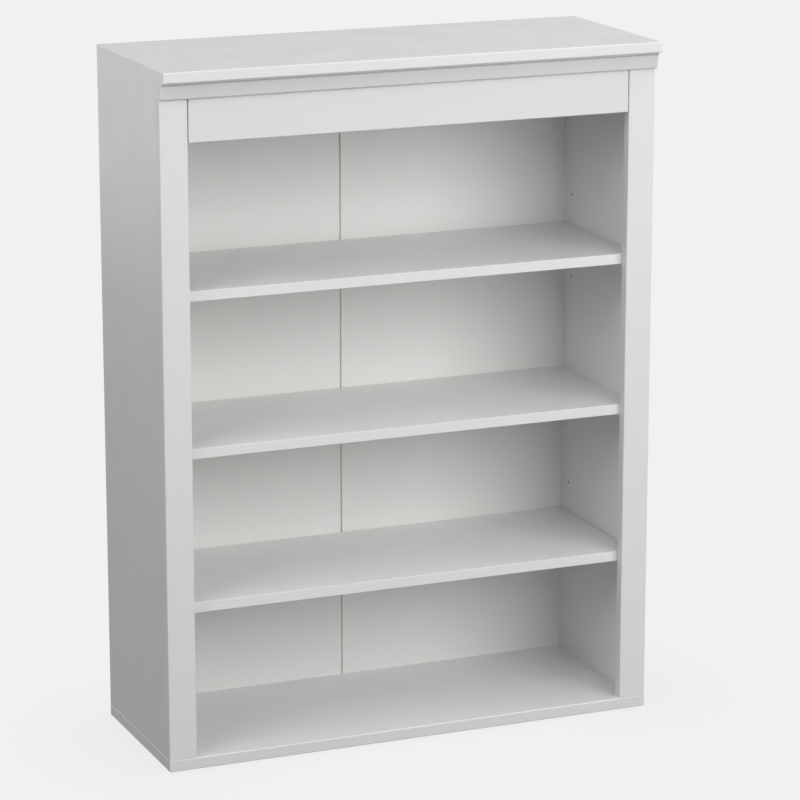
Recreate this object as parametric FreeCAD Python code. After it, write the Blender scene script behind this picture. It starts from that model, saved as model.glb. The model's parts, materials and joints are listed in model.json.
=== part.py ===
import FreeCAD, Part
import os

from FreeCAD import Placement, Rotation, Vector

# Bookcase with one fixed and two adjustable shelves. Millimetres, +Z up, the front faces -Y.
# The origin is at floor level, in the middle of the width and of the overall depth.

TOLERANCE = 0.01           # when looking for edges by their position
BEYOND = 1.0               # how far a cutting shape reaches past the surface it opens

# Overall size
WIDTH = 900.0
DEPTH = 348.0              # front of the top board to the back
HEIGHT = 1204.0

# Boards
BOARD = 18.0               # sides, top, shelves, front frame
BASE_BOARD = 20.0
BACK_BOARD = 3.0
EDGE_BAND = 1.0
EDGE_BAND_ROUND = 0.9
TOP_OVERHANG = 25.0        # top board in front of the front frame
SOFT_EDGE = 1.5            # rounding of the handled front edges
FINE_EDGE = 0.6            # rounding of the other long edges

# Front frame
STILE_WIDTH = 49.0
RAIL_FACE = 104.0          # rail height, its upper part lies behind the cornice
RAIL_GAP = 1.5             # shadow gap between each end of the rail and its stile
RAIL_BEVEL = 0.8
CORNICE_HEIGHT = 30.0
CORNICE_FOOT = 7.5         # how far the cornice stands forward at its foot
CORNICE_FACE = 11.0        # and at the top of its flat face
CORNICE_HEAD = 17.0        # and under the top board
CORNICE_BEAD = 2.5         # radius of the rounded lower edge
CORNICE_COVE = 9.0         # height at which the cove starts, down from the top board
CORNICE_LIP = 3.0
CORNICE_COVE_SAG = (1.7, 1.8)      # how far the cove's middle is from its face and from its lip

# Shelves
OPENING = 252.0            # clear height of each compartment seen from the front
SHELF_SIDE_PLAY = 1.5
SHELF_END_PLAY = 1.0       # front and back

# Back
BACK_RECESS = 3.5          # depth of the rebate for the back
REBATE = 8.0               # width of that rebate
FOLD_X = -7.0              # where the two leaves of the back meet
FOLD_GAP = 2.0
FOLD_BEVEL = 0.8
TAPE_WIDTH = 40.0
TAPE = 0.3

# Shelf supports
PIN_RADIUS = 2.5
PIN_SHANK = 9.0
PIN_HEAD_RADIUS = 3.0
PIN_HEAD = 8.0
PIN_EASE = 0.4
PIN_HOLE_RADIUS = 2.55
PIN_HOLE_DEPTH = 10.0
PIN_PITCH = 76.0           # one hole above and one below the hole in use
PIN_FRONT_INSET = 50.0     # front row, from the front of the frame
PIN_BACK_INSET = 288.0     # back row, from the front of the frame

# Wooden dowels
DOWEL_RADIUS = 4.0
DOWEL = 30.0
DOWEL_IN_FACE = 12.0       # depth in the face of a board, the rest is in the edge of the other
DOWEL_HOLE_RADIUS = 4.05
DOWEL_HOLE_EXTRA = 1.0     # room for glue at each end
DOWEL_EASE = 0.8

# Knock-down fittings
CAM_RADIUS = 7.5
CAM_DEPTH = 12.5
CAM_HOLE_RADIUS = 7.6
CAM_HOLE_DEPTH = 12.9
CAM_SET_BACK = 0.3
CAM_REACH = 34.0           # joint face to the middle of the cam
CAM_EASE = 0.5
CAM_SLOT = 1.4             # cross slot for the screwdriver
CAM_SLOT_REACH = 4.5
CAM_SLOT_DEPTH = 1.7
CAM_POCKET_HALF = 3.8      # half the width of the pocket for the bolt's head, open at the inner end
BOLT_HEAD_RADIUS = 3.5
BOLT_HEAD = 3.0
BOLT_HEAD_EASE = 0.8
BOLT_NECK_RADIUS = 2.0
BOLT_NECK = 8.0
BOLT_RADIUS = 3.2
BOLT_THREAD_RADIUS = 2.9
BOLT_THREAD = 11.0
BOLT_TIP_EASE = 1.0
BOLT_HOLE_EXTRA = 1.0      # the threaded hole is this much deeper than the thread
BOLT_BORE_RADIUS = 3.6
BOLT_COLLAR_RADIUS = 5.0
BOLT_COLLAR = 0.8
COLLAR_PLAY = 0.1
THREAD_PLAY = 0.05

# Housing screws through the bottom board
HOUSING_HEAD_RADIUS = 5.0
HOUSING_HEAD = 3.5
HOUSING_SET_BACK = 1.0
HOUSING_SHANK_RADIUS = 3.5
HOUSING_THREAD_RADIUS = 3.2
HOUSING_TIP = 4.0
HOUSING_TIP_RADIUS = 1.0
HOUSING_LENGTH = 50.0
HOUSING_PLAY = 0.05
HEX_SOCKET = 4.0           # across flats
HEX_DEPTH = 2.5

# Wood screws
CORNICE_SCREW = (1.9, 24.0)        # radius, length
BRACKET_SCREW = (1.9, 13.0)
SCREW_HEAD_RATIO = 2.0             # head radius over shank radius
SCREW_HEAD = 2.2
SCREW_TIP = 3.0
SCREW_TIP_RADIUS = 0.4
SCREW_RECESS = 1.2                 # depth of the cross recess
SCREW_RECESS_RATIO = 1.3           # its reach over the shank radius
SCREW_RECESS_HALF = 0.5            # half the width of its arms
SCREW_PLAY = 0.05

# Back nails
NAIL_RADIUS = 0.8
NAIL_LENGTH = 20.0
NAIL_TIP = 2.0
NAIL_TIP_RADIUS = 0.2
NAIL_HEAD_RADIUS = 1.8
NAIL_HEAD = 0.4
NAIL_PLAY = 0.05

# Wall brackets
BRACKET_X = 300.0
BRACKET_WIDTH = 40.0
BRACKET_LEG = 30.0
BRACKET_THICKNESS = 2.0
BRACKET_BEND = 3.0         # outer radius of the bend
BRACKET_SCREW_SPREAD = 11.0
BRACKET_HOLE_REACH = 18.0  # holes of each leg, from the back and from the top board
WALL_HOLE_RADIUS = 3.0

# Positions worked out from the sizes above
X_OUT = WIDTH / 2
X_IN = X_OUT - BOARD                        # inner faces of the sides
X_OPEN = X_OUT - STILE_WIDTH                # edges of the opening
X_JOINT = X_OUT - BOARD / 2                 # middle of a side's thickness
X_BACK = X_IN + REBATE                      # outer edges of the back
Y_REAR = DEPTH / 2
Y_TOP_FRONT = -DEPTH / 2
Y_FRONT = Y_TOP_FRONT + TOP_OVERHANG        # face of the front frame
Y_CASE = Y_FRONT + BOARD                    # front edges of sides and shelves
Y_FRAME_MIDDLE = Y_FRONT + BOARD / 2        # middle of the front frame's thickness
Y_BACK = Y_REAR - BACK_RECESS               # inner face of the back
Z_TOP = HEIGHT - BOARD                      # underside of the top board
Z_RAIL = Z_TOP - RAIL_FACE
Z_CORNICE = Z_TOP - CORNICE_HEIGHT
Z_LOWER_SHELF = BASE_BOARD + OPENING
Z_MIDDLE_SHELF = Z_LOWER_SHELF + BOARD + OPENING
Z_UPPER_SHELF = Z_MIDDLE_SHELF + BOARD + OPENING
Z_MIDDLE_JOINT = Z_MIDDLE_SHELF + BOARD / 2
Z_BACK_LOW = BASE_BOARD - REBATE
Z_BACK_HIGH = Z_TOP + REBATE

# Rows of fastenings
FITTING_Y = (Y_CASE + 50.0, Y_REAR - 50.0)
DOWEL_Y = (Y_CASE + 82.0, Y_REAR - 82.0)
STILE_DOWEL_Z = (120.0, 450.0, 780.0, 1100.0)
RAIL_DOWEL_Z = (Z_RAIL + 23.0, Z_RAIL + 78.0)
RAIL_TOP_DOWEL_X = 250.0
CORNICE_SCREW_X = (-416.0, -150.0, 150.0, 416.0)
CORNICE_SCREW_Z = Z_CORNICE + 14.0
NAIL_X = (-375.0, -225.0, -75.0, 75.0, 225.0, 375.0)
SIDE_NAIL_COUNT = 8
SIDE_NAIL_END = 70.0       # first and last nail of a side, from the ends of the back
PIN_ROWS = {"front": Y_FRONT + PIN_FRONT_INSET, "back": Y_FRONT + PIN_BACK_INSET}
PIN_SHELVES = {"lower": Z_LOWER_SHELF - PIN_HEAD_RADIUS, "upper": Z_UPPER_SHELF - PIN_HEAD_RADIUS}
SIDES = {"left": -1, "right": 1}

RIGHT = Vector(1, 0, 0)
BACKWARD = Vector(0, 1, 0)
FORWARD = Vector(0, -1, 0)
UP = Vector(0, 0, 1)
DOWN = Vector(0, 0, -1)


# Helpers

def block(x_range, y_range, z_range):
    low = Vector(min(x_range), min(y_range), min(z_range))
    high = Vector(max(x_range), max(y_range), max(z_range))
    return Part.makeBox(high.x - low.x, high.y - low.y, high.z - low.z, low)


def rod(start, direction, radius, length):
    return Part.makeCylinder(radius, length, start, direction)


def aimed(shape, place, direction):
    """Turn a shape made along +Z to a direction and put its origin at a place."""
    turned = shape.copy()
    turned.Placement = Placement(place, Rotation(UP, direction))
    return turned


def at_places(shape, places, direction):
    return [aimed(shape, place, direction) for place in places]


def long_edges(shape, axis, **places):
    """Straight edges along one axis whose other coordinates are as given."""
    found = []
    for edge in shape.Edges:
        bounds = edge.BoundBox
        low = {"x": bounds.XMin, "y": bounds.YMin, "z": bounds.ZMin}
        high = {"x": bounds.XMax, "y": bounds.YMax, "z": bounds.ZMax}
        across = [name for name in "xyz" if name != axis]
        straight = all(high[name] - low[name] < TOLERANCE for name in across)
        if straight and all(abs(low[name] - value) < TOLERANCE for name, value in places.items()):
            found.append(edge)
    return found


def soften(shape, radius, edges):
    return shape.makeFillet(radius, edges)


def drilled(board, holes):
    return board.cut(Part.makeCompound(holes)) if holes else board


def one_solid(shape):
    return shape.Solids[0] if len(shape.Solids) == 1 else shape


def export(name, shape):
    one_solid(shape).exportStep(os.path.join("parts", name + ".step"))


# Wooden dowels. Each place is where the dowel crosses the joint face,
# and the direction points into the face that is drilled across the board.

def dowel(place, direction):
    peg = Part.makeCylinder(DOWEL_RADIUS, DOWEL)
    peg = peg.makeChamfer(DOWEL_EASE, [edge for edge in peg.Edges if edge.Closed])
    return aimed(peg, place - direction * (DOWEL - DOWEL_IN_FACE), direction)


def dowel_hole(place, direction):
    start = place - direction * (DOWEL - DOWEL_IN_FACE + DOWEL_HOLE_EXTRA)
    return rod(start, direction, DOWEL_HOLE_RADIUS, DOWEL + 2 * DOWEL_HOLE_EXTRA)


def on_both_sides(x, y_list, z_list):
    """The same places on the left and on the right, with the side each one is on."""
    places = []
    for side in SIDES.values():
        for y in y_list:
            places += [(Vector(side * x, y, z), side) for z in z_list]
    return places


def stile_dowel_places():
    return [(place, FORWARD) for place, side in on_both_sides(X_JOINT, [Y_CASE], STILE_DOWEL_Z)]


def rail_dowel_places():
    return [(place, RIGHT * side) for place, side in on_both_sides(X_OPEN, [Y_FRAME_MIDDLE], RAIL_DOWEL_Z)]


def top_dowel_places():
    over_sides = on_both_sides(X_JOINT, DOWEL_Y, [Z_TOP])
    over_rail = on_both_sides(RAIL_TOP_DOWEL_X, [Y_FRAME_MIDDLE], [Z_TOP])
    return [(place, UP) for place, side in over_sides + over_rail]


def bottom_dowel_places():
    return [(place, DOWN) for place, side in on_both_sides(X_JOINT, DOWEL_Y, [BASE_BOARD])]


def middle_dowel_places():
    return [(place, RIGHT * side) for place, side in on_both_sides(X_IN, DOWEL_Y, [Z_MIDDLE_JOINT])]


DOWEL_GROUPS = {
    "stile_dowels": stile_dowel_places(),
    "rail_dowels": rail_dowel_places(),
    "top_dowels": top_dowel_places(),
    "bottom_dowels": bottom_dowel_places(),
    "middle_shelf_dowels": middle_dowel_places(),
}


def dowel_holes(*groups):
    return [dowel_hole(*place) for group in groups for place in DOWEL_GROUPS[group]]


# Knock-down fittings: a bolt stands out of one board and a turning cam in the other pulls it in.
# Each place is on the joint face; the direction points from the cam towards the bolt's thread.

def cam_bolt():
    """Made along +Z with the joint face at z = 0 and the head at z = -CAM_REACH."""
    head = rod(DOWN * (CAM_REACH + BOLT_HEAD / 2), UP, BOLT_HEAD_RADIUS, BOLT_HEAD)
    head = head.makeChamfer(BOLT_HEAD_EASE, [edge for edge in head.Edges if edge.Closed])
    neck = rod(Vector(0, 0, -CAM_REACH), UP, BOLT_NECK_RADIUS, BOLT_NECK)
    shank = rod(Vector(0, 0, -CAM_REACH + BOLT_NECK), UP, BOLT_RADIUS, CAM_REACH - BOLT_NECK)
    collar = rod(Vector(0, 0, -BOLT_COLLAR), UP, BOLT_COLLAR_RADIUS, BOLT_COLLAR)
    thread = rod(Vector(0, 0, 0), UP, BOLT_THREAD_RADIUS, BOLT_THREAD)
    tip = [edge for edge in thread.Edges if edge.Closed and edge.BoundBox.ZMin > BOLT_THREAD / 2]
    thread = thread.makeChamfer(BOLT_TIP_EASE, tip)
    return head.fuse([neck, shank, collar, thread]).removeSplitter()


def cam_bolt_room():
    """The bores that a cam bolt sits in, on both sides of the joint face."""
    bore = rod(Vector(0, 0, -CAM_REACH), UP, BOLT_BORE_RADIUS, CAM_REACH)
    seat = rod(Vector(0, 0, -BOLT_COLLAR), UP, BOLT_COLLAR_RADIUS + COLLAR_PLAY, BOLT_COLLAR)
    thread = rod(Vector(0, 0, 0), UP, BOLT_THREAD_RADIUS + THREAD_PLAY, BOLT_THREAD + BOLT_HOLE_EXTRA)
    return bore.fuse([seat, thread])


def cam_disc():
    """Made along +Z, its slotted face at z = 0, the bolt reaching it along +X at mid board."""
    disc = rod(Vector(0, 0, -CAM_SET_BACK - CAM_DEPTH), UP, CAM_RADIUS, CAM_DEPTH)
    rim = [edge for edge in disc.Edges if edge.Closed and edge.BoundBox.ZMax > -CAM_DEPTH / 2]
    disc = disc.makeChamfer(CAM_EASE, rim)
    pocket_x = (-CAM_SLOT_REACH, CAM_RADIUS + BEYOND)
    pocket_y = (-CAM_POCKET_HALF, CAM_POCKET_HALF)
    pocket_z = (-BOARD / 2 + CAM_POCKET_HALF, -CAM_HOLE_DEPTH - BEYOND)
    pocket = block(pocket_x, pocket_y, pocket_z)
    long_way = (-CAM_SLOT_REACH, CAM_SLOT_REACH)
    narrow_way = (-CAM_SLOT / 2, CAM_SLOT / 2)
    depth = (-CAM_SET_BACK - CAM_SLOT_DEPTH, 0.0)
    slots = [block(long_way, narrow_way, depth), block(narrow_way, long_way, depth)]
    return disc.cut(Part.makeCompound([pocket] + slots))


def cam_hole():
    return rod(Vector(0, 0, -CAM_HOLE_DEPTH), UP, CAM_HOLE_RADIUS, CAM_HOLE_DEPTH)


def turned_cam(shape, place, face, towards_bolt):
    """Put a cam shape at its board's face, with its pocket turned to the bolt."""
    turn = Rotation(towards_bolt, face.cross(towards_bolt), face, "ZXY")
    placed = shape.copy()
    placed.Placement = Placement(place, turn)
    return placed


def top_fittings():
    """Place on the joint face, direction of the bolt, place on the board face, direction of that face."""
    fittings = []
    for side in SIDES.values():
        for y in FITTING_Y:
            joint = Vector(side * X_JOINT, y, Z_TOP)
            face = Vector(side * X_IN, y, Z_TOP - CAM_REACH)
            fittings.append((joint, UP, face, RIGHT * -side))
    return fittings


def middle_fittings():
    fittings = []
    for side in SIDES.values():
        for y in FITTING_Y:
            joint = Vector(side * X_IN, y, Z_MIDDLE_JOINT)
            face = Vector(side * (X_IN - CAM_REACH), y, Z_MIDDLE_SHELF)
            fittings.append((joint, RIGHT * side, face, DOWN))
    return fittings


def bolts_of(fittings):
    return [aimed(cam_bolt(), joint, towards) for joint, towards, face, outward in fittings]


def discs_of(fittings):
    return [turned_cam(cam_disc(), face, outward, towards) for joint, towards, face, outward in fittings]


def fitting_room(fittings):
    rooms = []
    for joint, towards, face, outward in fittings:
        rooms.append(aimed(cam_bolt_room(), joint, towards))
        rooms.append(turned_cam(cam_hole(), face, outward, towards))
    return rooms


# Housing screws, driven up through the bottom board into the ends of the sides

def hex_prism(across_flats, height):
    corner = across_flats / 3 ** 0.5
    outline = Part.makePolygon([Rotation(UP, 60 * step).multVec(Vector(corner, 0, 0)) for step in range(7)])
    return Part.Face(outline).extrude(UP * height)


def housing_profile(play):
    """Head, shank, thread and tip as stacked rods along +Z, with some room all round."""
    shank_end = BASE_BOARD - HOUSING_SET_BACK
    thread_end = HOUSING_LENGTH - HOUSING_TIP
    head = Part.makeCone(HOUSING_HEAD_RADIUS + play, HOUSING_SHANK_RADIUS + play, HOUSING_HEAD)
    shank = rod(UP * HOUSING_HEAD, UP, HOUSING_SHANK_RADIUS + play, shank_end - HOUSING_HEAD)
    thread = rod(UP * shank_end, UP, HOUSING_THREAD_RADIUS + play, thread_end - shank_end)
    tip = Part.makeCone(HOUSING_THREAD_RADIUS + play, HOUSING_TIP_RADIUS + play, HOUSING_TIP, UP * thread_end)
    return head.fuse([shank, thread, tip])


def housing_screw():
    return housing_profile(0.0).cut(hex_prism(HEX_SOCKET, HEX_DEPTH))


def housing_room():
    mouth = rod(DOWN * HOUSING_SET_BACK, UP, HOUSING_HEAD_RADIUS + HOUSING_PLAY, HOUSING_SET_BACK)
    return housing_profile(HOUSING_PLAY).fuse(mouth)


def housing_places():
    return [place for place, side in on_both_sides(X_JOINT, FITTING_Y, [HOUSING_SET_BACK])]


# Wood screws, made along +Z from the face of the head to the tip

def screw_profile(size, play):
    radius, length = size
    head = Part.makeCone(radius * SCREW_HEAD_RATIO + play, radius + play, SCREW_HEAD)
    shank = rod(UP * SCREW_HEAD, UP, radius + play, length - SCREW_HEAD - SCREW_TIP)
    tip = Part.makeCone(radius + play, SCREW_TIP_RADIUS + play, SCREW_TIP, UP * (length - SCREW_TIP))
    return head.fuse([shank, tip])


def wood_screw(size):
    radius = size[0]
    long_way = (-radius * SCREW_RECESS_RATIO, radius * SCREW_RECESS_RATIO)
    narrow_way = (-SCREW_RECESS_HALF, SCREW_RECESS_HALF)
    depth = (0.0, SCREW_RECESS)
    cross = [block(long_way, narrow_way, depth), block(narrow_way, long_way, depth)]
    return screw_profile(size, 0.0).cut(Part.makeCompound(cross))


def cornice_screw_places():
    return [Vector(x, Y_CASE, CORNICE_SCREW_Z) for x in CORNICE_SCREW_X]


def bracket_screw_places():
    spread = (-BRACKET_SCREW_SPREAD, BRACKET_SCREW_SPREAD)
    y = Y_BACK - BRACKET_HOLE_REACH
    z = Z_TOP - BRACKET_THICKNESS
    return [Vector(side * BRACKET_X + offset, y, z) for side in SIDES.values() for offset in spread]


def wall_hole_places():
    z = Z_TOP - BRACKET_HOLE_REACH
    return [Vector(side * BRACKET_X, Y_BACK, z) for side in SIDES.values()]


# Back nails, driven forward from behind

def nail(play=0.0):
    head = rod(DOWN * NAIL_HEAD, UP, NAIL_HEAD_RADIUS + play, NAIL_HEAD)
    shank = rod(Vector(0, 0, 0), UP, NAIL_RADIUS + play, NAIL_LENGTH - NAIL_TIP)
    tip = Part.makeCone(NAIL_RADIUS + play, NAIL_TIP_RADIUS + play, NAIL_TIP, UP * (NAIL_LENGTH - NAIL_TIP))
    return head.fuse([shank, tip])


def nail_places():
    """Two columns into the sides, and rows into the bottom, the middle shelf and the top."""
    first = Z_BACK_LOW + SIDE_NAIL_END
    step = (Z_BACK_HIGH - SIDE_NAIL_END - first) / (SIDE_NAIL_COUNT - 1)
    column = [first + row * step for row in range(SIDE_NAIL_COUNT)]
    y = Y_BACK + BACK_BOARD
    at_sides = [place for place, side in on_both_sides(X_IN + REBATE / 2, [y], column)]
    rows = (BASE_BOARD - REBATE / 2, Z_MIDDLE_JOINT, Z_TOP + REBATE / 2)
    return at_sides + [Vector(x, y, z) for z in rows for x in NAIL_X]


def nail_holes():
    return at_places(nail(NAIL_PLAY), nail_places(), FORWARD)


# Shelf support pins

def pin_places():
    """Name of each pin, where its axis meets the side's inner face, and which way it pulls out."""
    places = {}
    for shelf, z in PIN_SHELVES.items():
        for side_name, side in SIDES.items():
            for row, y in PIN_ROWS.items():
                name = "_".join([shelf, "shelf_pin", side_name, row])
                places[name] = (Vector(side * X_IN, y, z), RIGHT * -side)
    return places


def shelf_pin():
    """Made along +Z: a shank in the hole below z = 0 and a wider head above it."""
    shank = rod(DOWN * PIN_SHANK, UP, PIN_RADIUS, PIN_SHANK)
    head = rod(Vector(0, 0, 0), UP, PIN_HEAD_RADIUS, PIN_HEAD)
    pin = shank.fuse(head)
    ends = [edge for edge in pin.Edges if edge.Closed and abs(edge.BoundBox.ZMin) > TOLERANCE]
    return pin.makeChamfer(PIN_EASE, ends)


def pin_holes(side):
    holes = []
    for z_used in PIN_SHELVES.values():
        for step in (-1, 0, 1):
            for y in PIN_ROWS.values():
                start = Vector(side * X_IN, y, z_used + step * PIN_PITCH)
                holes.append(rod(start, RIGHT * side, PIN_HOLE_RADIUS, PIN_HOLE_DEPTH))
    return holes


# Case

def back_rebate():
    return block((-X_BACK, X_BACK), (Y_BACK, Y_REAR), (Z_BACK_LOW, Z_BACK_HIGH))


def bottom_panel():
    board = block((-X_OUT, X_OUT), (Y_FRONT, Y_REAR), (0.0, BASE_BOARD))
    front = long_edges(board, "x", y=Y_FRONT)
    ends = long_edges(board, "y", x=-X_OUT) + long_edges(board, "y", x=X_OUT)
    board = soften(board, SOFT_EDGE, front + ends)
    screw_room = at_places(housing_room(), housing_places(), UP)
    return drilled(board, [back_rebate()] + screw_room + dowel_holes("bottom_dowels") + nail_holes())


def top_panel():
    board = block((-X_OUT, X_OUT), (Y_TOP_FRONT, Y_REAR), (Z_TOP, HEIGHT))
    front = long_edges(board, "x", y=Y_TOP_FRONT)
    ends = long_edges(board, "y", x=-X_OUT, z=HEIGHT) + long_edges(board, "y", x=X_OUT, z=HEIGHT)
    board = soften(board, SOFT_EDGE, front + ends)
    screws = at_places(screw_profile(BRACKET_SCREW, SCREW_PLAY), bracket_screw_places(), UP)
    room = fitting_room(top_fittings()) + dowel_holes("top_dowels")
    return drilled(board, [back_rebate()] + room + screws + nail_holes())


def side_panel(side):
    board = block((side * X_IN, side * X_OUT), (Y_CASE, Y_REAR), (BASE_BOARD, Z_TOP))
    upright = long_edges(board, "z", x=side * X_OUT)
    foot = long_edges(board, "y", x=side * X_OUT, z=BASE_BOARD)
    board = soften(board, FINE_EDGE, upright + foot)
    screw_room = at_places(housing_room(), housing_places(), UP)
    dowels = dowel_holes("stile_dowels", "top_dowels", "bottom_dowels", "middle_shelf_dowels")
    fittings = fitting_room(top_fittings() + middle_fittings())
    return drilled(board, [back_rebate()] + pin_holes(side) + screw_room + dowels + fittings + nail_holes())


# Front frame

def stile(side):
    board = block((side * X_OPEN, side * X_OUT), (Y_FRONT, Y_CASE), (BASE_BOARD, Z_TOP))
    board = soften(board, SOFT_EDGE, long_edges(board, "z", y=Y_FRONT))
    back_edges = long_edges(board, "z", y=Y_CASE) + long_edges(board, "y", z=BASE_BOARD)
    board = soften(board, FINE_EDGE, back_edges)
    return drilled(board, dowel_holes("stile_dowels", "rail_dowels") + cornice_screw_room())


def cornice_screw_room():
    return at_places(screw_profile(CORNICE_SCREW, SCREW_PLAY), cornice_screw_places(), FORWARD)


def fascia_rail():
    half = X_OPEN - RAIL_GAP
    board = block((-half, half), (Y_FRONT, Y_CASE), (Z_RAIL, Z_TOP))
    board = soften(board, SOFT_EDGE, long_edges(board, "x", z=Z_RAIL))
    board = board.makeChamfer(RAIL_BEVEL, long_edges(board, "z", y=Y_FRONT))
    return drilled(board, dowel_holes("rail_dowels", "top_dowels") + cornice_screw_room())


def cornice_moulding():
    """Flat face leaning slightly forward, rounded foot, small cove and a lip under the top board."""
    z_cove = Z_TOP - CORNICE_COVE
    z_lip = Z_TOP - CORNICE_LIP
    foot_back = Vector(-X_OUT, Y_FRONT, Z_CORNICE)
    foot_inner = Vector(-X_OUT, Y_FRONT - CORNICE_FOOT + CORNICE_BEAD, Z_CORNICE)
    foot_outer = Vector(-X_OUT, Y_FRONT - CORNICE_FOOT, Z_CORNICE + CORNICE_BEAD)
    bead_turn = CORNICE_BEAD * (1 - 0.5 ** 0.5)
    foot_middle = Vector(-X_OUT, Y_FRONT - CORNICE_FOOT + bead_turn, Z_CORNICE + bead_turn)
    face_top = Vector(-X_OUT, Y_FRONT - CORNICE_FACE, z_cove)
    lip_low = Vector(-X_OUT, Y_FRONT - CORNICE_HEAD, z_lip)
    sag_forward, sag_down = CORNICE_COVE_SAG
    cove_middle = Vector(-X_OUT, Y_FRONT - CORNICE_FACE - sag_forward, z_lip - sag_down)
    lip_high = Vector(-X_OUT, Y_FRONT - CORNICE_HEAD, Z_TOP)
    head_back = Vector(-X_OUT, Y_FRONT, Z_TOP)
    edges = [
        Part.LineSegment(foot_back, foot_inner).toShape(),
        Part.Arc(foot_inner, foot_middle, foot_outer).toShape(),
        Part.LineSegment(foot_outer, face_top).toShape(),
        Part.Arc(face_top, cove_middle, lip_low).toShape(),
        Part.LineSegment(lip_low, lip_high).toShape(),
        Part.LineSegment(lip_high, head_back).toShape(),
        Part.LineSegment(head_back, foot_back).toShape(),
    ]
    strip = Part.Face(Part.Wire(edges)).extrude(RIGHT * WIDTH)
    return drilled(strip, cornice_screw_room())


# Shelves

def shelf_parts(z, half_width, front, rear, holes=()):
    """A board and the band glued to its front edge."""
    board = block((-half_width, half_width), (front + EDGE_BAND, rear), (z, z + BOARD))
    band = block((-half_width, half_width), (front, front + EDGE_BAND), (z, z + BOARD))
    band = soften(band, EDGE_BAND_ROUND, long_edges(band, "x", y=front))
    return drilled(board, list(holes)), band


def middle_shelf_parts():
    room = fitting_room(middle_fittings()) + dowel_holes("middle_shelf_dowels") + nail_holes()
    return shelf_parts(Z_MIDDLE_SHELF, X_IN, Y_CASE, Y_BACK, room)


def loose_shelf_parts(z):
    return shelf_parts(z, X_IN - SHELF_SIDE_PLAY, Y_CASE + SHELF_END_PLAY, Y_BACK - SHELF_END_PLAY)


# Back

def back_leaf(side):
    inner = FOLD_X + side * FOLD_GAP / 2
    leaf = block((side * X_BACK, inner), (Y_BACK, Y_BACK + BACK_BOARD), (Z_BACK_LOW, Z_BACK_HIGH))
    leaf = leaf.makeChamfer(FOLD_BEVEL, long_edges(leaf, "z", x=inner, y=Y_BACK))
    wall_holes = [rod(place, BACKWARD, WALL_HOLE_RADIUS, BACK_BOARD) for place in wall_hole_places()]
    return drilled(leaf, wall_holes + nail_holes())


def back_fold_tape():
    y = Y_BACK + BACK_BOARD
    half = TAPE_WIDTH / 2
    return block((FOLD_X - half, FOLD_X + half), (y, y + TAPE), (Z_BACK_LOW, Z_BACK_HIGH))


def wall_bracket(side):
    x_range = (side * BRACKET_X - BRACKET_WIDTH / 2, side * BRACKET_X + BRACKET_WIDTH / 2)
    outer = block(x_range, (Y_BACK - BRACKET_LEG, Y_BACK), (Z_TOP - BRACKET_LEG, Z_TOP))
    outer = soften(outer, BRACKET_BEND, long_edges(outer, "x", y=Y_BACK, z=Z_TOP))
    y_inner = Y_BACK - BRACKET_THICKNESS
    z_inner = Z_TOP - BRACKET_THICKNESS
    inner = block(x_range, (Y_BACK - BRACKET_LEG, y_inner), (Z_TOP - BRACKET_LEG, z_inner))
    inner = soften(inner, BRACKET_BEND - BRACKET_THICKNESS, long_edges(inner, "x", y=y_inner, z=z_inner))
    angle = outer.cut(inner)
    holes = at_places(screw_profile(BRACKET_SCREW, SCREW_PLAY), bracket_screw_places(), UP)
    wall = [rod(place, FORWARD, WALL_HOLE_RADIUS, BRACKET_LEG) for place in wall_hole_places()]
    return drilled(angle, holes + wall)


# Assembly

def case_nodes():
    nodes = {"bottom_panel": bottom_panel(), "top_panel": top_panel()}
    for name, side in SIDES.items():
        nodes[name + "_side_panel"] = side_panel(side)
        nodes[name + "_stile"] = stile(side)
        nodes["back_panel_" + name] = back_leaf(side)
        nodes[name + "_wall_bracket"] = wall_bracket(side)
    nodes["fascia_rail"] = fascia_rail()
    nodes["cornice_moulding"] = cornice_moulding()
    nodes["back_fold_tape"] = back_fold_tape()
    return nodes


def shelf_nodes():
    nodes = {}
    nodes["middle_shelf"], nodes["middle_shelf_edge_band"] = middle_shelf_parts()
    for name, z in {"lower": Z_LOWER_SHELF, "upper": Z_UPPER_SHELF}.items():
        nodes[name + "_shelf"], nodes[name + "_shelf_edge_band"] = loose_shelf_parts(z)
    return nodes


def pin_nodes():
    return {name: aimed(shelf_pin(), place, pull) for name, (place, pull) in pin_places().items()}


def hardware_nodes():
    groups = {name: [dowel(*place) for place in places] for name, places in DOWEL_GROUPS.items()}
    groups["top_cam_bolts"] = bolts_of(top_fittings())
    groups["top_cam_discs"] = discs_of(top_fittings())
    groups["shelf_cam_bolts"] = bolts_of(middle_fittings())
    groups["shelf_cam_discs"] = discs_of(middle_fittings())
    groups["bottom_screws"] = at_places(housing_screw(), housing_places(), UP)
    groups["cornice_screws"] = at_places(wood_screw(CORNICE_SCREW), cornice_screw_places(), FORWARD)
    groups["wall_bracket_screws"] = at_places(wood_screw(BRACKET_SCREW), bracket_screw_places(), UP)
    groups["back_panel_nails"] = at_places(nail(), nail_places(), FORWARD)
    return {name: Part.makeCompound(pieces) for name, pieces in groups.items()}


def main():
    os.makedirs("parts", exist_ok=True)
    nodes = {**case_nodes(), **shelf_nodes(), **pin_nodes(), **hardware_nodes()}
    for name, shape in sorted(nodes.items()):
        export(name, shape)
        print(name, len(shape.Solids), "solids, valid:", shape.isValid())


main()
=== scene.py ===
import json
import math

import bmesh
import bpy
from mathutils import Matrix, Vector


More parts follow.
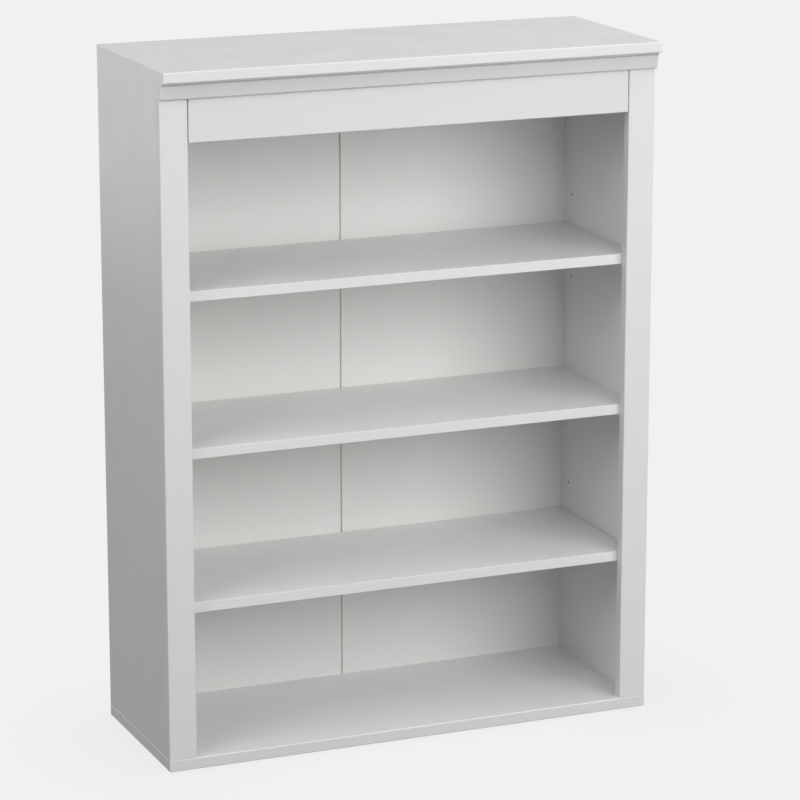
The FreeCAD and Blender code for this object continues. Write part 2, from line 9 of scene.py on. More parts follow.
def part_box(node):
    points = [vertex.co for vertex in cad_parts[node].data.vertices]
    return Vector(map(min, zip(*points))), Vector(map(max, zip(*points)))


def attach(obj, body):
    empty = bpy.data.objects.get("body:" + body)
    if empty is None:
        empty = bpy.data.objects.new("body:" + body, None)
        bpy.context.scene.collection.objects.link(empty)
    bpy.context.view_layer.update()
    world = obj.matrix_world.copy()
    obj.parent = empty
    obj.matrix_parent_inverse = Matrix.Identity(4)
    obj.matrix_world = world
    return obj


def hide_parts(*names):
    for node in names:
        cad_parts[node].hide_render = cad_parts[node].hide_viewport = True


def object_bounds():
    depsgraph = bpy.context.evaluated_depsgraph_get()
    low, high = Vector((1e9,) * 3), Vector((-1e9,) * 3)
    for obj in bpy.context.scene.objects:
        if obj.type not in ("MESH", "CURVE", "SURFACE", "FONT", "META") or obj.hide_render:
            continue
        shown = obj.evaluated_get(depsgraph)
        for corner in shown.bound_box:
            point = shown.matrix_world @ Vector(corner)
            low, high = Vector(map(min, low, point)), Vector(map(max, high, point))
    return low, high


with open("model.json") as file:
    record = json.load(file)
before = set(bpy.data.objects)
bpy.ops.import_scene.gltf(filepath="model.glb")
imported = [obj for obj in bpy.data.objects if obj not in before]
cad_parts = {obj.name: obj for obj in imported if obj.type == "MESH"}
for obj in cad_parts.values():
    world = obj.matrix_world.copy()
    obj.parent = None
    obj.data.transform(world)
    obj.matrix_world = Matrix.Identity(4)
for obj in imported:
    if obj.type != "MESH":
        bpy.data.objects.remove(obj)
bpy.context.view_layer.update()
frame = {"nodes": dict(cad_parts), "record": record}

MM = 0.001
TURN = 2 * math.pi
AXES = range(3)
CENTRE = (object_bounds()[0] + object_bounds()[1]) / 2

# Camera
LOOK_AZIMUTH = -22.7       # degrees, 0 looks along +Y
LOOK_ELEVATION = 14.2
LOOK_DISTANCE = 6.114
LOOK_TARGET = Vector((0.0282, -0.0206, 0.5781))
LENS = 157.5
SENSOR = 36.0

# Stage
BACKDROP = (0.88, 0.88, 0.883)
FLOOR_HALF = 30.0
FLOOR_DROP = 0.3 * MM      # keeps the floor clear of the underside
FLOOR_SHADOW = 0.12        # the floor is self-lit and evenly pale, with a painted shadow that makes it a little darker close to the object
FLOOR_SHADOW_REACH = 0.25
SKY_ABOVE = (0.885, 0.88, 0.92)
SKY_LEFT = 0.18            # strength of the sky at the left, as a share of that above
LIGHT_REACH = 3.5
SOFTBOXES = {              # azimuth and elevation in degrees, size in metres, power in watts
    "front_softbox": (18, 17, (3.0, 2.6), 83.0),
    "left_softbox": (-60, 30, (1.5, 1.5), 21.0),
    "high_softbox": (90, 55, (1.5, 1.5), 21.0),
    "right_softbox": (105, 10, (2.0, 2.0), 30.0),
    "rear_softbox": (215, 10, (2.0, 2.0), 20.0),
}

# Colours
WHITE = (0.80, 0.803, 0.792)
SHELF_WHITE = (0.825, 0.828, 0.812)
EDGE_WHITE = (0.84, 0.842, 0.825)
STILE_WHITE = (0.81, 0.812, 0.802)
RAIL_WHITE = (0.785, 0.788, 0.772)
BACK_WHITE = (0.79, 0.795, 0.772)
HARDBOARD = (0.36, 0.225, 0.13)
CHIPBOARD = (0.34, 0.25, 0.16)
TAPE_DARK = (0.62, 0.58, 0.49)
TAPE_LIGHT = (0.74, 0.71, 0.63)
BEECH_DARK = (0.42, 0.26, 0.13)
BEECH_LIGHT = (0.66, 0.47, 0.29)
BRIGHT_STEEL = (0.72, 0.72, 0.73)
ZINC_STEEL = (0.62, 0.63, 0.64)
CAM_ZINC = (0.45, 0.46, 0.47)

# Finishes
BOARD_ROUGHNESS = 0.36
FRAME_ROUGHNESS = 0.40
EDGE_ROUGHNESS = 0.34
HARDBOARD_ROUGHNESS = 0.42
LACQUER_IOR = 1.48
CLOUDS = 5.0               # these five are noise scales, larger for smaller patches
SMUDGES = 14.0
DENTS = 22.0
RUBBED_PATCHES = 40.0
SPECKS = 1300.0
DENT_HEIGHT = 0.2 * MM
GRAIN_HEIGHT = 0.02 * MM
EDGE_WEAR = 1.2 * MM       # width of the rubbed band along an edge
EDGE_SAMPLES = 4
ON_FLAT, ON_EDGE = 0.995, 0.90          # how far a normal agrees with its rounded one
RUBBED_LOW, RUBBED_HIGH = 0.45, 0.65    # noise values between which the wear fades in
RUBBED_POLISH = 0.08       # how much less rough a rubbed edge is
RAW_DULLNESS = 0.4         # how much rougher raw hardboard is than its lacquer
PRESS_SCREEN = 150.0       # scale of the press screen's mark
SCREEN_HEIGHT = 0.25 * MM
SKIN = 0.4 * MM            # thickness of the white skin over the chipboard
FRONT_SKIN = 4 * SKIN      # a board's front edge is skin, or edge strip, to this depth
UPRIGHT_GRAIN = (240.0, 240.0, 5.0)
LEVEL_GRAIN = (5.0, 240.0, 240.0)
FRAME_PEBBLE = (700.0, 0.04)            # scale and height in mm of the fine relief
EDGE_PEBBLE = (1100.0, 0.02)
MIX_A, MIX_B, MIX_RESULT = 6, 7, 2      # the colour sockets of a mix node

# Shapes
WELD = 0.01 * MM           # points closer than this are one point
END_BAND = 0.5 * MM        # a rim point lies this near the end of its solid
HEAD_EXCESS = 0.1 * MM     # a head is wider than the tip by at least this
SCREW_RADIUS = 1.9         # this and the two lengths are in millimetres
CORNICE_SCREW = 24.0
BRACKET_SCREW = 13.0


# Shader helpers

def new_material(name):
    material = bpy.data.materials.new(name)
    material.use_nodes = True
    nodes = material.node_tree.nodes
    return material, nodes, material.node_tree.links, nodes["Principled BSDF"]


def object_coords(nodes):
    return nodes.new("ShaderNodeTexCoord").outputs["Object"]


def noise(nodes, links, coords, scale, detail=2.0, roughness=0.5, stretch=(1, 1, 1)):
    mapping = nodes.new("ShaderNodeMapping")
    mapping.inputs["Scale"].default_value = stretch
    links.new(coords, mapping.inputs["Vector"])
    texture = nodes.new("ShaderNodeTexNoise")
    texture.inputs["Scale"].default_value = scale
    texture.inputs["Detail"].default_value = detail
    texture.inputs["Roughness"].default_value = roughness
    links.new(mapping.outputs["Vector"], texture.inputs["Vector"])
    return texture.outputs["Fac"]


def spread(nodes, links, value, low, high, from_low=0.3, from_high=0.7):
    """Map a value, by default one from a noise, onto a range."""
    step = nodes.new("ShaderNodeMapRange")
    step.inputs["From Min"].default_value = from_low
    step.inputs["From Max"].default_value = from_high
    step.inputs["To Min"].default_value = low
    step.inputs["To Max"].default_value = high
    links.new(value, step.inputs["Value"])
    return step.outputs["Result"]


def reckon(nodes, links, operation, first, second):
    """One arithmetic step between a value and another value or a number."""
    step = nodes.new("ShaderNodeMath")
    step.operation = operation
    links.new(first, step.inputs[0])
    if isinstance(second, (int, float)):
        step.inputs[1].default_value = second
    else:
        links.new(second, step.inputs[1])
    return step.outputs["Value"]


def within(nodes, links, value, low, high):
    """1 where a value lies between two numbers, 0 elsewhere."""
    above = reckon(nodes, links, "GREATER_THAN", value, low)
    below = reckon(nodes, links, "LESS_THAN", value, high)
    return reckon(nodes, links, "MULTIPLY", above, below)


def tint(nodes, links, value, dark, light):
    """Blend between two colours by a value from 0 to 1."""
    ramp = nodes.new("ShaderNodeValToRGB")
    ramp.color_ramp.elements[0].color = (*dark, 1)
    ramp.color_ramp.elements[1].color = (*light, 1)
    links.new(value, ramp.inputs["Fac"])
    return ramp.outputs["Color"]


def mixed(nodes, links, value, first, second):
    """Blend between two colour outputs by a value from 0 to 1, or evenly by a number."""
    mix = nodes.new("ShaderNodeMix")
    mix.data_type = "RGBA"
    if isinstance(value, (int, float)):
        mix.inputs["Factor"].default_value = value
    else:
        links.new(value, mix.inputs["Factor"])
    links.new(first, mix.inputs[MIX_A])
    links.new(second, mix.inputs[MIX_B])
    return mix.outputs[MIX_RESULT]


def bump(nodes, links, height, distance, under=None):
    """A bump layer, on top of another one if given."""
    layer = nodes.new("ShaderNodeBump")
    layer.inputs["Distance"].default_value = distance
    links.new(height, layer.inputs["Height"])
    if under is not None:
        links.new(under, layer.inputs["Normal"])
    return layer.outputs["Normal"]


def edge_mask(nodes, links, radius):
    """1 along sharp edges, 0 on the flat."""
    rounded = nodes.new("ShaderNodeBevel")
    rounded.samples = EDGE_SAMPLES
    rounded.inputs["Radius"].default_value = radius
    flat = nodes.new("ShaderNodeNewGeometry")
    match = nodes.new("ShaderNodeVectorMath")
    match.operation = "DOT_PRODUCT"
    links.new(rounded.outputs["Normal"], match.inputs[0])
    links.new(flat.outputs["Normal"], match.inputs[1])
    return spread(nodes, links, match.outputs["Value"], 0.0, 1.0, ON_FLAT, ON_EDGE)


def times(colour, factor):
    """A colour made darker or lighter."""
    return tuple(channel * factor for channel in colour)


def feeding(socket):
    """The output that now feeds a shader input."""
    return socket.links[0].from_socket


# Finishes

def white_finish(name, shade, roughness, pebble=900.0, pebble_height=0.03, grain=None):
    """Satin white over board: faint cloudiness, fine pebbling, lightly rubbed edges.

    The colours are shares of shade. pebble_height is in millimetres. grain, if given, stretches
    one more relief along the board, like wood under paint.
    """
    material, nodes, links, shader = new_material(name)
    coords = object_coords(nodes)
    cloud = spread(nodes, links, noise(nodes, links, coords, CLOUDS), 0.0, 1.0)
    speck = spread(nodes, links, noise(nodes, links, coords, SPECKS), 0.0, 1.0)
    soft = tint(nodes, links, cloud, times(shade, 0.985), shade)
    fine = tint(nodes, links, speck, times(shade, 0.975), times(shade, 1.01))
    clean = mixed(nodes, links, 0.3, soft, fine)
    patches = noise(nodes, links, coords, RUBBED_PATCHES, detail=4.0)
    patchy = spread(nodes, links, patches, 0.0, 1.0, RUBBED_LOW, RUBBED_HIGH)
    worn = reckon(nodes, links, "MULTIPLY", edge_mask(nodes, links, EDGE_WEAR), patchy)
    scuffed = tint(nodes, links, speck, times(shade, 0.90), times(shade, 0.96))
    links.new(mixed(nodes, links, worn, clean, scuffed), shader.inputs["Base Color"])
    smudges = noise(nodes, links, coords, SMUDGES, detail=5.0)
    smudged = spread(nodes, links, smudges, roughness * 0.9, roughness * 1.12)
    polish = reckon(nodes, links, "MULTIPLY", worn, -RUBBED_POLISH)
    links.new(reckon(nodes, links, "ADD", smudged, polish), shader.inputs["Roughness"])
    relief = bump(nodes, links, noise(nodes, links, coords, pebble, detail=3.0), pebble_height * MM)
    relief = bump(nodes, links, noise(nodes, links, coords, DENTS), DENT_HEIGHT, under=relief)
    if grain is not None:
        streaks = noise(nodes, links, coords, 1.0, detail=3.0, stretch=grain)
        relief = bump(nodes, links, streaks, GRAIN_HEIGHT, under=relief)
    links.new(relief, shader.inputs["Normal"])
    shader.inputs["IOR"].default_value = LACQUER_IOR
    return material


def show_core(material, node, across):
    """Bare chipboard in the holes drilled into a board, below its white skin.

    across is the axis of the board's thickness. The two side panels share one such material,
    because it measures from the middle of the case either way.
    """
    nodes, links = material.node_tree.nodes, material.node_tree.links
    shader = nodes["Principled BSDF"]
    low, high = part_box(node)
    back_of_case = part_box("back_panel_left")[0].y
    coords = object_coords(nodes)
    place = nodes.new("ShaderNodeSeparateXYZ")
    links.new(coords, place.inputs["Vector"])
    mirrored = reckon(nodes, links, "MULTIPLY", place.outputs[across], -1.0)
    distance = reckon(nodes, links, "MAXIMUM", place.outputs[across], mirrored)
    near, far = sorted((abs(low[across]), abs(high[across])))
    thick = within(nodes, links, distance, near + SKIN, far - SKIN)
    deep = within(nodes, links, place.outputs["Y"], low.y + FRONT_SKIN, back_of_case - SKIN)
    inside = reckon(nodes, links, "MULTIPLY", thick, deep)
    flakes = spread(nodes, links, noise(nodes, links, coords, 700.0, detail=4.0), 0.0, 1.0)
    core = tint(nodes, links, flakes, times(CHIPBOARD, 0.55), CHIPBOARD)
    skin = feeding(shader.inputs["Base Color"])
    links.new(mixed(nodes, links, inside, skin, core), shader.inputs["Base Color"])


def hardboard_finish():
    """White lacquer inside, raw brown fibre with the mark of the press screen behind."""
    material = white_finish("WhiteHardboard", BACK_WHITE, HARDBOARD_ROUGHNESS, 500.0, 0.05)
    nodes, links = material.node_tree.nodes, material.node_tree.links
    shader = nodes["Principled BSDF"]
    coords = nodes.new("ShaderNodeTexCoord")
    place = coords.outputs["Object"]
    facing = nodes.new("ShaderNodeSeparateXYZ")
    links.new(coords.outputs["Normal"], facing.inputs["Vector"])
    behind = reckon(nodes, links, "GREATER_THAN", facing.outputs["Y"], 0.5)
    fibres = noise(nodes, links, place, 260.0, detail=6.0, roughness=0.7)
    fibres = spread(nodes, links, fibres, 0.0, 1.0)
    brown = tint(nodes, links, fibres, times(HARDBOARD, 0.72), times(HARDBOARD, 0.96))
    paler = tint(nodes, links, fibres, times(HARDBOARD, 0.8), times(HARDBOARD, 1.12))
    mottle = noise(nodes, links, place, 16.0, detail=6.0, roughness=0.65)
    mottle = spread(nodes, links, mottle, 0.0, 1.0)
    raw = mixed(nodes, links, mottle, brown, paler)
    white = feeding(shader.inputs["Base Color"])
    links.new(mixed(nodes, links, behind, white, raw), shader.inputs["Base Color"])
    dull = reckon(nodes, links, "MULTIPLY", behind, RAW_DULLNESS)
    lacquer = feeding(shader.inputs["Roughness"])
    links.new(reckon(nodes, links, "ADD", lacquer, dull), shader.inputs["Roughness"])
    threads = []
    for direction in ("X", "Z"):
        wave = nodes.new("ShaderNodeTexWave")
        wave.bands_direction = direction
        wave.inputs["Scale"].default_value = PRESS_SCREEN
        links.new(place, wave.inputs["Vector"])
        threads.append(wave.outputs["Fac"])
    screen = reckon(nodes, links, "MULTIPLY", *threads)
    screen = reckon(nodes, links, "MULTIPLY", screen, behind)
    smooth = feeding(shader.inputs["Normal"])
    links.new(bump(nodes, links, screen, SCREEN_HEIGHT, under=smooth), shader.inputs["Normal"])
    return material


def tape_finish():
    """Thin textile tape with a fine weave."""
    material, nodes, links, shader = new_material("Tape")
    coords = object_coords(nodes)
    fibres = noise(nodes, links, coords, 800.0, detail=3.0, stretch=(1, 1, 0.15))
    fibres = spread(nodes, links, fibres, 0.0, 1.0)
    links.new(tint(nodes, links, fibres, TAPE_DARK, TAPE_LIGHT), shader.inputs["Base Color"])
    smudge = noise(nodes, links, coords, 60.0, detail=4.0)
    links.new(spread(nodes, links, smudge, 0.42, 0.6), shader.inputs["Roughness"])
    weave = bump(nodes, links, noise(nodes, links, coords, 1200.0, stretch=(1, 1, 0.2)), 0.04 * MM)
    creased = bump(nodes, links, noise(nodes, links, coords, 45.0, detail=3.0), 0.3 * MM, under=weave)
    links.new(creased, shader.inputs["Normal"])
    return material


def metal_finish(name, colour, roughness, mottle=300.0, relief=0.01):
    """Plated or cast metal: cloudy plating and fine pits, their relief in millimetres."""
    material, nodes, links, shader = new_material(name)
    coords = object_coords(nodes)
    cloud = spread(nodes, links, noise(nodes, links, coords, mottle, detail=3.0), 0.0, 1.0)
    links.new(tint(nodes, links, cloud, times(colour, 0.82), colour), shader.inputs["Base Color"])
    pits = noise(nodes, links, coords, 2500.0, detail=3.0)
    dull = spread(nodes, links, pits, roughness * 0.8, roughness * 1.25)
    links.new(dull, shader.inputs["Roughness"])
    links.new(bump(nodes, links, pits, relief * MM), shader.inputs["Normal"])
    shader.inputs["Metallic"].default_value = 1.0
    return material


def beech_finish():
    """Pale beech with short fibres and dark flecks."""
    material, nodes, links, shader = new_material("Beech")
    coords = object_coords(nodes)
    fibres = spread(nodes, links, noise(nodes, links, coords, 900.0, detail=4.0), 0.0, 1.0)
    links.new(tint(nodes, links, fibres, BEECH_DARK, BEECH_LIGHT), shader.inputs["Base Color"])
    patches = noise(nodes, links, coords, 400.0)
    links.new(spread(nodes, links, patches, 0.55, 0.75), shader.inputs["Roughness"])
    pores = noise(nodes, links, coords, 1500.0, detail=3.0)
    links.new(bump(nodes, links, pores, 0.05 * MM), shader.inputs["Normal"])
    return material


# The record's material slots
MATERIALS = {
    "white_board": white_finish("WhiteBoard", WHITE, BOARD_ROUGHNESS),
    "painted_frame": white_finish("PaintedRail", RAIL_WHITE, FRAME_ROUGHNESS, *FRAME_PEBBLE, LEVEL_GRAIN),
    "edge_band": white_finish("EdgeBand", EDGE_WHITE, EDGE_ROUGHNESS, *EDGE_PEBBLE),
    "white_hardboard": hardboard_finish(),
    "tape": tape_finish(),
    "bright_steel": metal_finish("BrightSteel", BRIGHT_STEEL, 0.24),
    "zinc_steel": metal_finish("ZincSteel", ZINC_STEEL, 0.34),
    "cam_zinc": metal_finish("CamZinc", CAM_ZINC, 0.48, mottle=700.0, relief=0.03),
    "beech": beech_finish(),
}


def special_finishes():
    """Nodes whose finish differs a little from that of their slot."""
    stile = white_finish("PaintedStile", STILE_WHITE, FRAME_ROUGHNESS, *FRAME_PEBBLE, UPRIGHT_GRAIN)
    side = white_finish("WhiteBoardSide", WHITE, BOARD_ROUGHNESS)
    show_core(side, "right_side_panel", across=0)
    middle = white_finish("WhiteBoardMiddle", SHELF_WHITE, BOARD_ROUGHNESS)
    show_core(middle, "middle_shelf", across=2)
    shelf = white_finish("WhiteBoardShelf", SHELF_WHITE, BOARD_ROUGHNESS)
    return {
        "left_stile": stile,
        "right_stile": stile,
        "left_side_panel": side,
        "right_side_panel": side,
        "middle_shelf": middle,
        "lower_shelf": shelf,
        "upper_shelf": shelf,
    }


def dress_nodes():
    slots = {row["node"]: row["material_slot"] for row in frame["record"]["subparts"]}
    special = special_finishes()
    for name, node in frame["nodes"].items():
        node.data.materials.clear()
        node.data.materials.append(special.get(name, MATERIALS[slots[name]]))


# Turned shapes, made along +Z from the head end. An outline is a list of (radius, height) in
# millimetres. A point may carry a function of angle and height that gives the radius instead.

def turned_shape(outline, segments=32):
    """Points and faces of a closed turned solid, with one point at each end."""
    points = [Vector((0, 0, outline[0][1])) * MM]
    for radius, height, *shaped in outline:
        for step in range(segments):
            angle = TURN * step / segments
            reach = shaped[0](angle, height) if shaped else radius
            points.append(Vector((reach * math.cos(angle), reach * math.sin(angle), height)) * MM)
    points.append(Vector((0, 0, outline[-1][1])) * MM)
    faces = []
    top = 1 + (len(outline) - 1) * segments
    for step in range(segments):
        following = (step + 1) % segments
        faces.append((0, 1 + following, 1 + step))
        for low in range(1, top, segments):
            high = low + segments
            faces.append((low + step, low + following, high + following, high + step))
        faces.append((top + step, top + following, len(points) - 1))
    return points, faces


def threaded(root, crest, pitch, start, end, steps_per_pitch=8):
    """Rings of a screw thread between two heights, fading out at both ends."""
    count = round((end - start) / pitch * steps_per_pitch)
    rings = []
    for step in range(count + 1):
        height = start + (end - start) * step / count
        fade = min(1.0, (height - start) / pitch, (end - height) / pitch)

        def ridge(angle, z, fade=fade):
            phase = (z / pitch - angle / TURN) % 1.0
            return root + (crest - root) * fade * max(0.0, 1 - 1.6 * abs(2 * phase - 1))

        rings.append((root, height, ridge))
    return rings


def hexagon(across_flats):
    """Ring shape of a hexagonal socket."""
    def ring(angle, height):
        return across_flats / 2 / math.cos((angle + TURN / 12) % (TURN / 6) - TURN / 12)
    return ring


def cross(reach, half_width):
    """Ring shape of a cross recess."""
    def ring(angle, height):
        level = half_width / max(abs(math.sin(angle)), 0.001)
        upright = half_width / max(abs(math.cos(angle)), 0.001)
        return max(min(reach, level), min(reach, upright))
    return ring


# Hardware, in millimetres, each inside the size of its CAD solid

def fluted_dowel():
    """Wooden dowel with fine flutes and eased ends."""
    radius, length, ease, flutes, groove = 4.0, 30.0, 1.2, 16, 0.35
    shoulder, shoulder_at = radius - 0.45, 0.5

    def fluted(angle, height):
        return radius - groove * (0.5 + 0.5 * math.cos(flutes * angle))

    low_end = [(radius - ease, 0.0), (shoulder, shoulder_at), (radius, ease, fluted)]
    high_end = [(radius, length - ease, fluted), (shoulder, length - shoulder_at), (radius - ease, length)]
    return turned_shape(low_end + high_end, segments=64)


def cam_bolt():
    """Bolt of a cam fitting: ball head, thin neck, shank, collar at the joint, then a thread."""
    head, neck, shank, collar, joint = 3.5, 2.0, 3.2, 5.0, 35.5
    collar_start, thread_end = joint - 0.8, joint + 11.0
    outline = [(0.6, 0.5), (1.4, 0.5), (1.8, 0.0), (head - 0.9, 0.0), (head - 0.2, 0.35), (head, 0.9)]
    outline += [(head, 2.2), (head - 0.7, 3.0), (neck, 3.2), (neck, 9.2), (shank, 9.6)]
    outline += [(shank, collar_start), (collar, collar_start), (collar, joint)]
    outline += threaded(root=2.1, crest=2.9, pitch=1.75, start=joint + 0.05, end=thread_end - 0.8)
    return turned_shape(outline + [(1.7, thread_end - 0.5), (1.2, thread_end)])


def housing_screw():
    """Housing screw: countersunk head with a hexagonal socket, plain neck, coarse thread."""
    head, neck, neck_end, length = 5.0, 3.5, 18.9, 49.9
    socket = hexagon(4.0)
    outline = [(1.0, 2.9), (2.0, 2.5, socket), (2.0, 0.3, socket), (2.6, 0.0), (head - 0.3, 0.0)]
    outline += [(head, 0.25), (neck, 3.5), (neck, neck_end)]
    outline += threaded(root=2.3, crest=3.2, pitch=3.0, start=neck_end + 0.3, end=46.0)
    return turned_shape(outline + [(1.0, length)], segments=36)


def wood_screw(radius, length):
    """Countersunk wood screw with a cross recess."""
    recess = cross(radius * 1.25, 0.5)
    outline = [(0.3, 1.7), (0.5, 1.2, recess), (0.5, 0.05, recess), (radius * 1.45, 0.0)]
    outline += [(radius * 1.9, 0.0), (radius * 2, 0.15), (radius, 2.2), (radius * 0.75, 3.2)]
    outline += threaded(radius * 0.68, radius, pitch=1.5, start=3.4, end=length - 3.0, steps_per_pitch=6)
    return turned_shape(outline + [(0.3, length)], segments=24)


def nail():
    """Flat-headed nail, slightly domed, with three grip rings under the head."""
    head, shank, length, tip, ring = 1.8, 0.8, 20.4, 2.2, 0.12
    outline = [(0.7, 0.0), (1.3, 0.05), (head - 0.08, 0.15), (head, 0.28)]
    outline += [(head - 0.1, 0.4), (shank, 0.42)]
    for height in (1.2, 1.9, 2.6):
        outline += [(shank, height), (shank - ring, height + 0.15)]
        outline += [(shank - ring, height + 0.35), (shank, height + 0.5)]
    return turned_shape(outline + [(shank, length - tip), (0.12, length)], segments=20)


def shelf_pin():
    """Round-ended peg with a shoulder and a ring groove near the end of its shank."""
    head, shank, shoulder, length = 3.0, 2.5, 8.0, 17.0
    groove = shank - 0.3
    outline = [(1.2, 0.0), (2.0, 0.06), (2.55, 0.28), (2.85, 0.65), (head, 1.15)]
    outline += [(head, shoulder - 0.25), (head - 0.25, shoulder), (shank, shoulder)]
    outline += [(shank, length - 3.2), (groove, length - 3.0), (groove, length - 2.4)]
    outline += [(shank, length - 2.2), (shank, length - 0.7), (shank - 0.3, length - 0.2), (1.7, length)]
    return turned_shape(outline)


# Placing the shapes where their CAD solids are

def box_of(points):
    low = Vector([min(point[axis] for point in points) for axis in AXES])
    high = Vector([max(point[axis] for point in points) for axis in AXES])
    return low, high


def middle_of(points):
    low, high = box_of(points)
    return (low + high) / 2


def islands(node):
    """The separate solids of a CAD node, each as a list of its points, in a fixed order."""
    merged = bmesh.new()
    merged.from_mesh(frame["nodes"][node].data)
    bmesh.ops.remove_doubles(merged, verts=merged.verts, dist=WELD)
    merged.verts.index_update()
    seen = set()
    groups = []
    for first in merged.verts:
        group, waiting = [], [first]
        while waiting:
            vertex = waiting.pop()
            if vertex.index in seen:
                continue
            seen.add(vertex.index)
            group.append(vertex.co.copy())
            waiting += [edge.other_vert(vertex) for edge in vertex.link_edges]
        if group:
            groups.append(group)
    merged.free()
    return sorted(groups, key=lambda group: [round(value, 4) for value in middle_of(group)])


def head_and_way(points):
    """Where the head of a long turned solid ends, and the direction from there to its tip."""
    low, high = box_of(points)
    middle = (low + high) / 2
    long_axis = max(AXES, key=lambda axis: high[axis] - low[axis])
    spine = Vector([0 if axis == long_axis else 1 for axis in AXES])

    def width(end):
        rim = [point for point in points if abs(point[long_axis] - end) < END_BAND]
        return max(((point - middle) * spine).length for point in rim)

    head_is_low = width(low[long_axis]) > width(high[long_axis]) + HEAD_EXCESS
    head = middle.copy()
    head[long_axis] = low[long_axis] if head_is_low else high[long_axis]
    way = Vector((0, 0, 0))
    way[long_axis] = 1 if head_is_low else -1
    return head, way


def piece_from(name, points, faces, body, slot, node, crease):
    """A closed mesh that stands for a CAD node."""
    mesh = bpy.data.meshes.new(name)
    mesh.from_pydata(points, [], faces)
    turning = bmesh.new()
    turning.from_mesh(mesh)
    bmesh.ops.recalc_face_normals(turning, faces=turning.faces)
    turning.to_mesh(mesh)
    turning.free()
    mesh.materials.append(MATERIALS[slot])
    mesh.shade_smooth()
    mesh.set_sharp_from_angle(angle=math.radians(crease))
    piece = bpy.data.objects.new(name, mesh)
    bpy.context.scene.collection.objects.link(piece)
    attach(piece, body)
    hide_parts(node)


def stand_in(node, body, slot, shape):
    """Put a finer turned shape in the place of every solid of a CAD node."""
    shape_points, shape_faces = shape
    points, faces = [], []
    for solid in islands(node):
        head, way = head_and_way(solid)
        turn = Vector((0, 0, 1)).rotation_difference(way).to_matrix().to_4x4()
        place = Matrix.Translation(head) @ turn
        first = len(points)
        points += [place @ point for point in shape_points]
        faces += [tuple(first + index for index in face) for face in shape_faces]
    piece_from(node + "_detail", points, faces, body, slot, node, crease=35)


def hardware():
    """Every dowel, bolt, screw, nail and pin as a finer shape."""
    for group in ("stile_dowels", "rail_dowels", "top_dowels", "bottom_dowels", "middle_shelf_dowels"):
        stand_in(group, "case", "beech", fluted_dowel())
    for group in ("top_cam_bolts", "shelf_cam_bolts"):
        stand_in(group, "case", "zinc_steel", cam_bolt())
    stand_in("bottom_screws", "case", "zinc_steel", housing_screw())
    stand_in("cornice_screws", "case", "zinc_steel", wood_screw(SCREW_RADIUS, CORNICE_SCREW))
    stand_in("wall_bracket_screws", "case", "zinc_steel", wood_screw(SCREW_RADIUS, BRACKET_SCREW))
    stand_in("back_panel_nails", "case", "zinc_steel", nail())
    for body, members in frame["record"]["behaviour"]["bodies"].items():
        for node in members:
            if "shelf_pin" in node:
                stand_in(node, body, "bright_steel", shelf_pin())


def fold_tape():
    """The tape over the fold of the back, pressed on by hand, with faint ripples and a slight sway."""
    low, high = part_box("back_fold_tape")
    columns, rows = 10, 240
    margin = 0.6 * MM          # room at both sides for the sway
    thinnest = 0.35            # of the tape's full thickness, at its edges
    edge_slope = 8
    stuck, proud = [], []
    for row in range(rows + 1):
        z = low.z + (high.z - low.z) * row / rows
        sway = (0.35 * math.sin(9.0 * z) + 0.2 * math.sin(31.0 * z + 1.0)) * MM
        for column in range(columns + 1):
            share = column / columns
            x = low.x + margin + (high.x - low.x - 2 * margin) * share + sway
            ripple = 0.5 + 0.3 * math.sin(160.0 * z + 5.0 * share) * math.sin(23.0 * z + 3.0 * share)
            pressed = min(1.0, edge_slope * share, edge_slope * (1 - share))
            thickness = thinnest + 0.6 * ripple * pressed
            stuck.append((x, low.y, z))
            proud.append((x, low.y + (high.y - low.y) * thickness, z))
    across, other = columns + 1, len(stuck)
    faces = []
    for row in range(rows):
        for column in range(columns):
            corner = row * across + column
            faces.append((corner, corner + 1, corner + 1 + across, corner + across))
            faces.append(tuple(other + index for index in faces[-1]))
    rim = [row * across for row in range(rows + 1)]
    rim += [rows * across + column for column in range(1, across)]
    rim += [row * across + columns for row in reversed(range(rows))]
    rim += list(reversed(range(1, columns)))
    for here, following in zip(rim, rim[1:] + rim[:1]):
        faces.append((here, following, other + following, other + here))
    piece_from("fold_tape", stuck + proud, faces, "case", "tape", "back_fold_tape", crease=50)


# Stage, light and camera

def floor():
    mesh = bpy.data.meshes.new("floor")
    reach = FLOOR_HALF
    corners = [(-reach, -reach), (reach, -reach), (reach, reach), (-reach, reach)]
    mesh.from_pydata([(x, y, -FLOOR_DROP) for x, y in corners], [], [(0, 1, 2, 3)])
    ground = bpy.data.objects.new("floor", mesh)
    bpy.context.scene.collection.objects.link(ground)
    material, nodes, links, shader = new_material("Floor")
    shader.inputs["Base Color"].default_value = (0, 0, 0, 1)
    shader.inputs["Roughness"].default_value = 1.0
    shader.inputs["Specular IOR Level"].default_value = 0.0
    shader.inputs["Emission Color"].default_value = (*BACKDROP, 1)
    # painted shadow: ambient occlusion dims the self-lit floor's glow close to the object
    near = nodes.new("ShaderNodeAmbientOcclusion")
    near.inputs["Distance"].default_value = FLOOR_SHADOW_REACH
    glow = spread(nodes, links, near.outputs["AO"], 1 - FLOOR_SHADOW, 1.0, 0.0, 1.0)
    links.new(glow, shader.inputs["Emission Strength"])
    mesh.materials.append(material)
    ground.visible_diffuse = False
    ground.visible_glossy = False


def around(azimuth, elevation):
    """A place around the object: azimuth 0 is in front, 90 at its right."""
    turn, tilt = math.radians(azimuth), math.radians(elevation)
    way = Vector((math.sin(turn) * math.cos(tilt), -math.cos(turn) * math.cos(tilt), math.sin(tilt)))
    return CENTRE + way * LIGHT_REACH


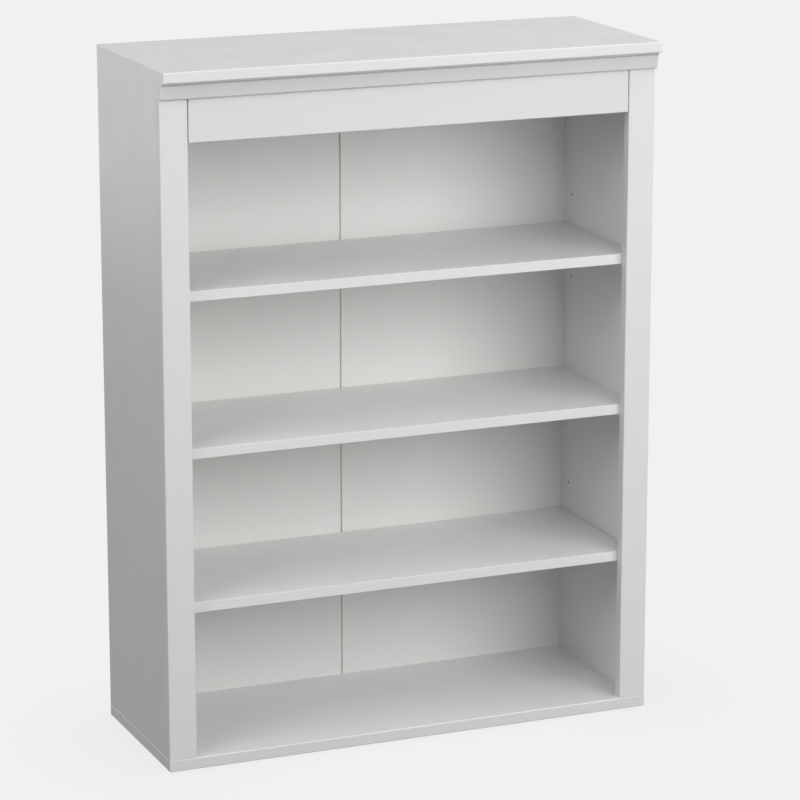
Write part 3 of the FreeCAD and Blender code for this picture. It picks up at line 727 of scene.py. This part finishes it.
def softbox(name, azimuth, elevation, size, power):
    place = around(azimuth, elevation)
    lamp = bpy.data.lights.new(name, "AREA")
    lamp.shape = "RECTANGLE"
    lamp.size, lamp.size_y = size
    lamp.energy = power
    box = bpy.data.objects.new(name, lamp)
    box.location = place
    box.rotation_mode = "QUATERNION"
    box.rotation_quaternion = (CENTRE - place).to_track_quat("-Z", "Y")
    bpy.context.scene.collection.objects.link(box)


def sky():
    """Soft light from above and a little from the left; the camera sees a plain pale backdrop."""
    world = bpy.data.worlds.new("Studio")
    bpy.context.scene.world = world
    world.use_nodes = True
    nodes, links = world.node_tree.nodes, world.node_tree.links
    way = nodes.new("ShaderNodeSeparateXYZ")
    links.new(nodes.new("ShaderNodeTexCoord").outputs["Generated"], way.inputs["Vector"])
    above = spread(nodes, links, way.outputs["Z"], 0.0, 1.0, 0.0, 1.0)
    leftward = spread(nodes, links, way.outputs["X"], SKY_LEFT, 0.0, -1.0, 0.0)
    light = nodes["Background"]
    light.inputs["Color"].default_value = (*SKY_ABOVE, 1)
    links.new(reckon(nodes, links, "ADD", above, leftward), light.inputs["Strength"])
    pale = nodes.new("ShaderNodeBackground")
    pale.inputs["Color"].default_value = (*BACKDROP, 1)
    choose = nodes.new("ShaderNodeMixShader")
    links.new(nodes.new("ShaderNodeLightPath").outputs["Is Camera Ray"], choose.inputs["Fac"])
    links.new(light.outputs["Background"], choose.inputs[1])
    links.new(pale.outputs["Background"], choose.inputs[2])
    links.new(choose.outputs["Shader"], nodes["World Output"].inputs["Surface"])


def camera():
    data = bpy.data.cameras.new("camera")
    data.sensor_width = SENSOR
    data.lens = LENS
    eye = bpy.data.objects.new("camera", data)
    azimuth, elevation = math.radians(LOOK_AZIMUTH), math.radians(LOOK_ELEVATION)
    level = math.cos(elevation)
    back = Vector((math.sin(azimuth) * level, -math.cos(azimuth) * level, math.sin(elevation)))
    eye.location = LOOK_TARGET + back * LOOK_DISTANCE
    eye.rotation_euler = (math.pi / 2 - elevation, 0.0, azimuth)
    bpy.context.scene.collection.objects.link(eye)
    bpy.context.scene.camera = eye


dress_nodes()
hardware()
fold_tape()
floor()
sky()
for lamp_name, settings in SOFTBOXES.items():
    softbox(lamp_name, *settings)
camera()
bpy.context.scene.view_settings.view_transform = "Standard"
